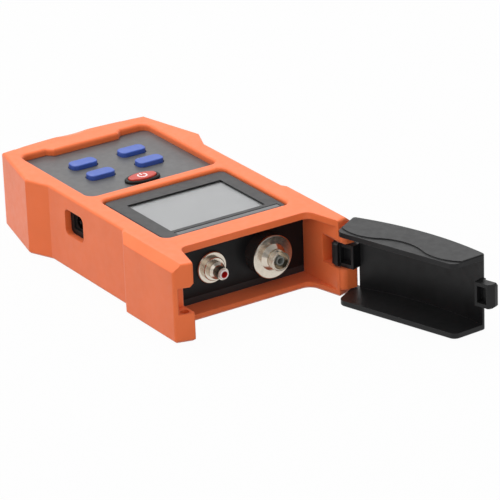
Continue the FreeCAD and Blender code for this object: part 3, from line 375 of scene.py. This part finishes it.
NEAR_BLACK = (0.004, 0.004, 0.004)
COOL_BLACK = (0.004, 0.004, 0.0045)
LOOKS = {
    "protective_boot": moulded("boot_orange", (0.87, 0.168, 0.040), 0.46, grain=0.30 * MM,
                               depth=0.004 * MM, specular=0.38, shift=0.03, edge=0.7 * MM,
                               sheen=0.12),
    "port_cover": moulded("cover_black", COOL_BLACK, 0.36, grain=0.25 * MM, depth=0.004 * MM,
                          specular=0.27, sheen=0.03),
    "front_shell": moulded("shell_black", NEAR_BLACK, 0.5, specular=0.2),
    "rear_shell": moulded("rear_shell_black", (0.016, 0.016, 0.017), 0.55, grain=0.6 * MM,
                          depth=0.02 * MM),
    "connector_panel": moulded("panel_black", COOL_BLACK, 0.38, specular=0.2),
    "keypad_overlay": moulded("overlay_grey", (0.075, 0.075, 0.077), 0.36, grain=0.18 * MM,
                              depth=0.005 * MM),
    "power_key_ring": moulded("ring_black", NEAR_BLACK, 0.42, specular=0.2),
    "power_key": moulded("key_red", (0.50, 0.040, 0.022), 0.38, grain=0.2 * MM,
                         depth=0.003 * MM),
    "screen_bezel": moulded("bezel_dark", (0.013, 0.013, 0.014), 0.36, grain=0.15 * MM,
                            depth=0.003 * MM, specular=0.38),
    "screen_lens": clear_window("lens_clear"),
    "screen_module": display_face("display_grey"),
    "main_board": circuit_board("board_green"),
    "battery_pack": moulded("battery_wrap", (0.02, 0.06, 0.25), 0.3),
    "charge_jack": moulded("socket_black", (0.002, 0.002, 0.002), 0.5, specular=0.08),
    "key_switches": plated("switch_steel", (0.60, 0.60, 0.62), 0.3, axis="Z"),
    "hinge_pin": plated("pin_steel", (0.55, 0.55, 0.57), 0.25, axis="Z"),
    "case_screws": plated("screw_zinc", (0.50, 0.51, 0.54), 0.28, axis="Z"),
    "meter_collar": moulded("collar_black", (0.030, 0.026, 0.025), 0.2, grain=0.1 * MM,
                            depth=0.002 * MM),
    "laser_module": plated("laser_brass", (0.62, 0.40, 0.14), 0.3),
    "detector": plated("detector_can", (0.60, 0.60, 0.60), 0.3),
    "meter_sleeve": moulded("sleeve_grey", (0.22, 0.23, 0.21), 0.22),
    "source_sleeve": ferrule_sleeve("sleeve_ceramic_painted_glow", middle("source_sleeve")),
}
NICKEL = plated("nickel", (0.67, 0.60, 0.51), 0.21)
for node in ("source_nut", "source_barrel", "meter_adapter"):
    LOOKS[node] = NICKEL
BLUE = moulded("key_blue", (0.030, 0.085, 0.40), 0.42, grain=0.2 * MM, depth=0.003 * MM,
               specular=0.65)
for node in ("key_front_left", "key_front_right", "key_back_left", "key_back_right"):
    LOOKS[node] = BLUE


def dress_nodes():
    """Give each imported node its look."""
    for node, thing in NODES.items():
        for place in thing.material_slots:
            place.material = LOOKS[node]


# ---------------------------------------------------------------- fine detail


def swept(name, frames, profile, closed=False):
    """Sweep an outline along a path.

    Each frame is (origin, across, up); the profile's points are (across, up) lengths from it.
    """
    shape = bmesh.new()
    rings = [[shape.verts.new(origin + across * a + up * b) for a, b in profile]
             for origin, across, up in frames]
    count = len(profile)
    spans = list(zip(rings, rings[1:])) + ([(rings[-1], rings[0])] if closed else [])
    for here, there in spans:
        for i in range(count):
            shape.faces.new((here[i], here[(i + 1) % count], there[(i + 1) % count], there[i]))
    if not closed:
        shape.faces.new(rings[0][::-1])
        shape.faces.new(rings[-1])
    bmesh.ops.recalc_face_normals(shape, faces=shape.faces)
    mesh = bpy.data.meshes.new(name)
    shape.to_mesh(mesh)
    shape.free()
    return mesh


def add_piece(mesh, material, body):
    """Show a mesh as a piece that rides on a body."""
    piece = bpy.data.objects.new(mesh.name, mesh)
    bpy.context.scene.collection.objects.link(piece)
    mesh.materials.append(material)
    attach(piece, body)


def ring_frames(centre, radius, first, last, steps, normal):
    """Frames round a circle from one angle to another, counted from +X round its normal."""
    other = normal.cross(RIGHT)
    frames = []
    for step in range(steps + 1):
        angle = first + (last - first) * step / steps
        out = RIGHT * math.cos(angle) + other * math.sin(angle)
        frames.append((centre + out * radius, out, normal))
    return frames


MARK_RADIUS = 1.8 * MM
MARK_STROKE = 0.62 * MM
MARK_HEIGHT = 0.05 * MM
MARK_GAP = math.radians(38)
MARK_STEPS = 30
# the bar's frames, as shares of the ring's radius from its centre
MARK_BAR = (0.15, 0.65, 1.25)


def add_power_mark():
    """The usual ring-and-bar power sign, printed thickly on the oval key."""
    ink = printed("mark_white", (0.86, 0.74, 0.74))
    centre = middle("power_key")
    centre.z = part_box("power_key")[1][2]
    half, rim = MARK_STROKE / 2, MARK_STROKE / 4
    profile = [(-half, -MARK_HEIGHT), (half, -MARK_HEIGHT), (half, MARK_HEIGHT / 2),
               (rim, MARK_HEIGHT), (-rim, MARK_HEIGHT), (-half, MARK_HEIGHT / 2)]
    # the ring opens towards the tail, a quarter turn from +X
    ring = ring_frames(centre, MARK_RADIUS, QUARTER_TURN + MARK_GAP,
                       QUARTER_TURN + FULL_TURN - MARK_GAP, MARK_STEPS, UP)
    add_piece(swept("power_mark_ring", ring, profile), ink, "power_key_body")
    bar = [(centre + TAIL * (share * MARK_RADIUS), RIGHT, UP) for share in MARK_BAR]
    add_piece(swept("power_mark_bar", bar, profile), ink, "power_key_body")


THREAD_PITCH = 0.75 * MM
THREAD_RISE = 0.10 * MM
THREAD_RINGS = 4
THREAD_STEPS = 48
# from the barrel's tip to the middle of the first ridge, as a share of the pitch
THREAD_START = 0.55
KEY_SLOT_DEPTH = 2.0 * MM
KEY_SLOT_HALF = 1.1 * MM


def add_thread():
    """Fine ridges round the meter's barrel, open where the key slot crosses them."""
    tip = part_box("meter_adapter")[0][1]
    axis = middle("meter_adapter")
    barrel = named(frame["record"]["mounts"], "meter_thread")["dims"]["r_mm"] * MM
    profile = [(-THREAD_RISE, -THREAD_PITCH / 2), (THREAD_RISE, -THREAD_PITCH / 8),
               (THREAD_RISE, THREAD_PITCH / 8), (-THREAD_RISE, THREAD_PITCH / 2)]
    # round +Y the angles run from +X down, so the slot at the top is at minus a quarter turn
    top = -QUARTER_TURN
    for index in range(THREAD_RINGS):
        reach = (THREAD_START + index) * THREAD_PITCH
        centre = Vector((axis.x, tip + reach, axis.z))
        crossed = reach < KEY_SLOT_DEPTH
        gap = math.asin(KEY_SLOT_HALF / barrel) if crossed else 0.0
        ring = ring_frames(centre, barrel, top + gap, top + FULL_TURN - gap, THREAD_STEPS, TAIL)
        mesh = swept("thread_ridge_%d" % (index + 1), ring if crossed else ring[:-1], profile,
                     closed=not crossed)
        add_piece(mesh, NICKEL, "root")


# the ends and the middle line of the plate's recess, inwards from the bezel's edges
STRIP_LEFT_INSET = 6.7 * MM
STRIP_RIGHT_INSET = 2.5 * MM
STRIP_FRONT_INSET = 2.8 * MM
STRIP_LENGTH = 3.0 * MM
STRIP_RECESS = 0.3 * MM
STRIP_GAP = 0.30 * MM
STRIP_THICKNESS = 0.22 * MM
STRIP_CHAMFER = 0.06 * MM


def add_strip_plate():
    """A bare grey plate that fills the shallow recess in front of the display."""
    face = moulded("strip_grey", (0.105, 0.108, 0.112), 0.35, grain=0.15 * MM, depth=0.002 * MM)
    low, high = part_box("screen_bezel")
    left = low[0] + STRIP_LEFT_INSET + STRIP_GAP
    right = high[0] - STRIP_RIGHT_INSET - STRIP_GAP
    half = STRIP_LENGTH / 2 - STRIP_GAP
    shoulder = STRIP_THICKNESS - STRIP_CHAMFER
    profile = [(-half, 0.0), (half, 0.0), (half, shoulder), (half - STRIP_CHAMFER, STRIP_THICKNESS),
               (STRIP_CHAMFER - half, STRIP_THICKNESS), (-half, shoulder)]
    base = Vector((0.0, low[1] + STRIP_FRONT_INSET, high[2] - STRIP_RECESS))
    frames = [(base + RIGHT * place, TAIL, UP) for place in (left, right)]
    add_piece(swept("strip_plate", frames, profile), face, "root")


# how far the stated openings keep off the boot: at its sides, and at the notch's floor and end
OPENING_MARGIN = 0.3 * MM
NOTCH_FLOOR_MARGIN = 0.8 * MM
NOTCH_END_MARGIN = 0.4 * MM
WALL_DEPTH = 2.7 * MM
WALL_ROUND = 0.6 * MM
WALL_STEPS = 4


def add_latch_wall():
    """The wall at the back of the latch's notch, flush with the bay and rounded at its front arris.

    It fills the notch's end and takes up WALL_DEPTH of the stated opening.
    """
    (outer, _, floor), (_, end, ceiling) = opening("latch_notch")
    outer -= OPENING_MARGIN
    inner = opening("bay_left")[0][0] - OPENING_MARGIN
    front, back = end - WALL_DEPTH, end + NOTCH_END_MARGIN
    profile = [(inner, back)]
    for step in range(WALL_STEPS + 1):
        angle = QUARTER_TURN * step / WALL_STEPS
        profile.append((inner - WALL_ROUND * (1 - math.cos(angle)),
                        front + WALL_ROUND * (1 - math.sin(angle))))
    profile += [(outer, front), (outer, back)]
    levels = (floor - NOTCH_FLOOR_MARGIN, ceiling + OPENING_MARGIN)
    frames = [(UP * level, RIGHT, TAIL) for level in levels]
    add_piece(swept("latch_notch_wall", frames, profile), LOOKS["protective_boot"], "root")


def add_details():
    add_latch_wall()
    add_power_mark()
    add_thread()
    add_strip_plate()


# ---------------------------------------------------------------- studio


def whitened(tree, surface, strength):
    """Return a mix that camera, mirror and glass rays see as plain white, in part."""
    nodes, links = tree.nodes, tree.links
    path = nodes.new("ShaderNodeLightPath")
    total = path.outputs["Is Camera Ray"]
    for name in ("Is Glossy Ray", "Is Transmission Ray"):
        adder = nodes.new("ShaderNodeMath")
        adder.operation = "MAXIMUM"
        links.new(total, adder.inputs[0])
        links.new(path.outputs[name], adder.inputs[1])
        total = adder.outputs["Value"]
    scaled = nodes.new("ShaderNodeMath")
    scaled.operation = "MULTIPLY"
    scaled.inputs[1].default_value = strength
    links.new(total, scaled.inputs[0])
    white = nodes.new("ShaderNodeEmission")
    white.inputs["Strength"].default_value = 1.0
    mix = nodes.new("ShaderNodeMixShader")
    links.new(scaled.outputs["Value"], mix.inputs["Fac"])
    links.new(surface, mix.inputs[1])
    links.new(white.outputs["Emission"], mix.inputs[2])
    return mix.outputs["Shader"]


FLOOR_SIZE = 12.0
FLOOR_DROP = 0.3 * MM
FLOOR_GREY = (0.50, 0.50, 0.50)
# the share of plain white in the floor; the rest keeps the object's shadow
FLOOR_WHITENING = 0.97
FLOOR_GRAIN_SCALE = 400.0
FLOOR_GRAIN_DEPTH = 0.1 * MM


def build_floor():
    """A wide pale floor that keeps a faint shadow."""
    bpy.ops.mesh.primitive_plane_add(size=FLOOR_SIZE, location=UP * -FLOOR_DROP)
    floor = bpy.context.object
    floor.name = "studio_floor"
    material = bpy.data.materials.new("floor_white")
    material.use_nodes = True
    tree = material.node_tree
    matte = tree.nodes["Principled BSDF"]
    matte.inputs["Base Color"].default_value = (*FLOOR_GREY, 1.0)
    matte.inputs["Roughness"].default_value = 0.9
    matte.inputs["Specular IOR Level"].default_value = 0.1
    grain = tree.nodes.new("ShaderNodeTexNoise")
    grain.inputs["Scale"].default_value = FLOOR_GRAIN_SCALE
    bump = tree.nodes.new("ShaderNodeBump")
    bump.inputs["Distance"].default_value = FLOOR_GRAIN_DEPTH
    tree.links.new(grain.outputs["Fac"], bump.inputs["Height"])
    tree.links.new(bump.outputs["Normal"], matte.inputs["Normal"])
    shown = whitened(tree, matte.outputs["BSDF"], FLOOR_WHITENING)
    tree.links.new(shown, tree.nodes["Material Output"].inputs["Surface"])
    floor.data.materials.append(material)


ROOM_LIGHT = 0.50
# what mirrors see brightens with the direction's Y, from the dim front to the bright back
MIRROR_RAMP = {"From Min": -0.75, "From Max": 0.05, "To Min": 0.25, "To Max": 1.0}


def build_world():
    """Soft room light, seen as white by the camera and as a bright back and dim front by mirrors."""
    world = bpy.data.worlds.new("studio")
    bpy.context.scene.world = world
    world.use_nodes = True
    tree = world.node_tree
    nodes, links = tree.nodes, tree.links
    path = nodes.new("ShaderNodeLightPath")
    fill = nodes["Background"]
    fill.inputs["Color"].default_value = (1.0, 1.0, 1.0, 1.0)
    fill.inputs["Strength"].default_value = ROOM_LIGHT
    white = nodes.new("ShaderNodeBackground")
    white.inputs["Strength"].default_value = 1.0
    room = nodes.new("ShaderNodeBackground")
    direction = nodes.new("ShaderNodeTexCoord")
    split = nodes.new("ShaderNodeSeparateXYZ")
    links.new(direction.outputs["Generated"], split.inputs["Vector"])
    ramp = nodes.new("ShaderNodeMapRange")
    for key, number in MIRROR_RAMP.items():
        ramp.inputs[key].default_value = number
    links.new(split.outputs["Y"], ramp.inputs["Value"])
    links.new(ramp.outputs["Result"], room.inputs["Strength"])
    mirror = nodes.new("ShaderNodeMixShader")
    links.new(path.outputs["Is Glossy Ray"], mirror.inputs["Fac"])
    links.new(fill.outputs["Background"], mirror.inputs[1])
    links.new(room.outputs["Background"], mirror.inputs[2])
    direct = nodes.new("ShaderNodeMath")
    direct.operation = "MAXIMUM"
    links.new(path.outputs["Is Camera Ray"], direct.inputs[0])
    links.new(path.outputs["Is Transmission Ray"], direct.inputs[1])
    final = nodes.new("ShaderNodeMixShader")
    links.new(direct.outputs["Value"], final.inputs["Fac"])
    links.new(mirror.outputs["Shader"], final.inputs[1])
    links.new(white.outputs["Background"], final.inputs[2])
    links.new(final.outputs["Shader"], nodes["World Output"].inputs["Surface"])


# name, place, width and power of each lamp
LAMPS = (
    ("key_lamp", (-0.1, 0.5, 1.1), 0.9, 13.0),
    ("back_lamp", (1.16, 0.80, 0.60), 2.3, 6.6),
    ("front_lamp", (-0.35, -1.1, 0.40), 0.8, 1.9),
    ("side_lamp", (-1.1, -0.1, 0.5), 0.7, 2.0),
)


def add_lamp(name, place, width, power):
    """A soft square lamp that is turned towards the origin."""
    light = bpy.data.lights.new(name, "AREA")
    light.energy = power
    light.size = width
    lamp = bpy.data.objects.new(name, light)
    lamp.location = place
    lamp.rotation_euler = (-Vector(place)).to_track_quat("-Z", "Y").to_euler()
    bpy.context.scene.collection.objects.link(lamp)


CAMERA_AZIMUTH = math.radians(-32.785)
CAMERA_ELEVATION = math.radians(22.912)
CAMERA_ROLL = math.radians(-1.996)
CAMERA_PLACE = Vector((-0.64099, -1.06973, 0.53487))
# the lens and the sensor in millimetres
CAMERA_LENS = 243.71
CAMERA_SENSOR = 36.0
CAMERA_SHIFT = (-0.0360, -0.0257)


def build_camera():
    """The camera, turned by its azimuth and elevation and then rolled."""
    back = Vector((
        math.sin(CAMERA_AZIMUTH) * math.cos(CAMERA_ELEVATION),
        -math.cos(CAMERA_AZIMUTH) * math.cos(CAMERA_ELEVATION),
        math.sin(CAMERA_ELEVATION),
    ))
    right = UP.cross(back).normalized()
    up = back.cross(right)
    turned_right = right * math.cos(CAMERA_ROLL) + up * math.sin(CAMERA_ROLL)
    turned_up = up * math.cos(CAMERA_ROLL) - right * math.sin(CAMERA_ROLL)
    data = bpy.data.cameras.new("camera")
    data.lens = CAMERA_LENS
    data.sensor_width = CAMERA_SENSOR
    data.shift_x, data.shift_y = CAMERA_SHIFT
    camera = bpy.data.objects.new("camera", data)
    turn = Matrix((turned_right, turned_up, back)).transposed()
    camera.matrix_world = Matrix.Translation(CAMERA_PLACE) @ turn.to_4x4()
    bpy.context.scene.collection.objects.link(camera)
    bpy.context.scene.camera = camera


def build_studio():
    """Floor, world, lamps and camera."""
    build_floor()
    build_world()
    for lamp in LAMPS:
        add_lamp(*lamp)
    build_camera()
    bpy.context.scene.view_settings.view_transform = "Standard"


dress_nodes()
add_details()
build_studio()
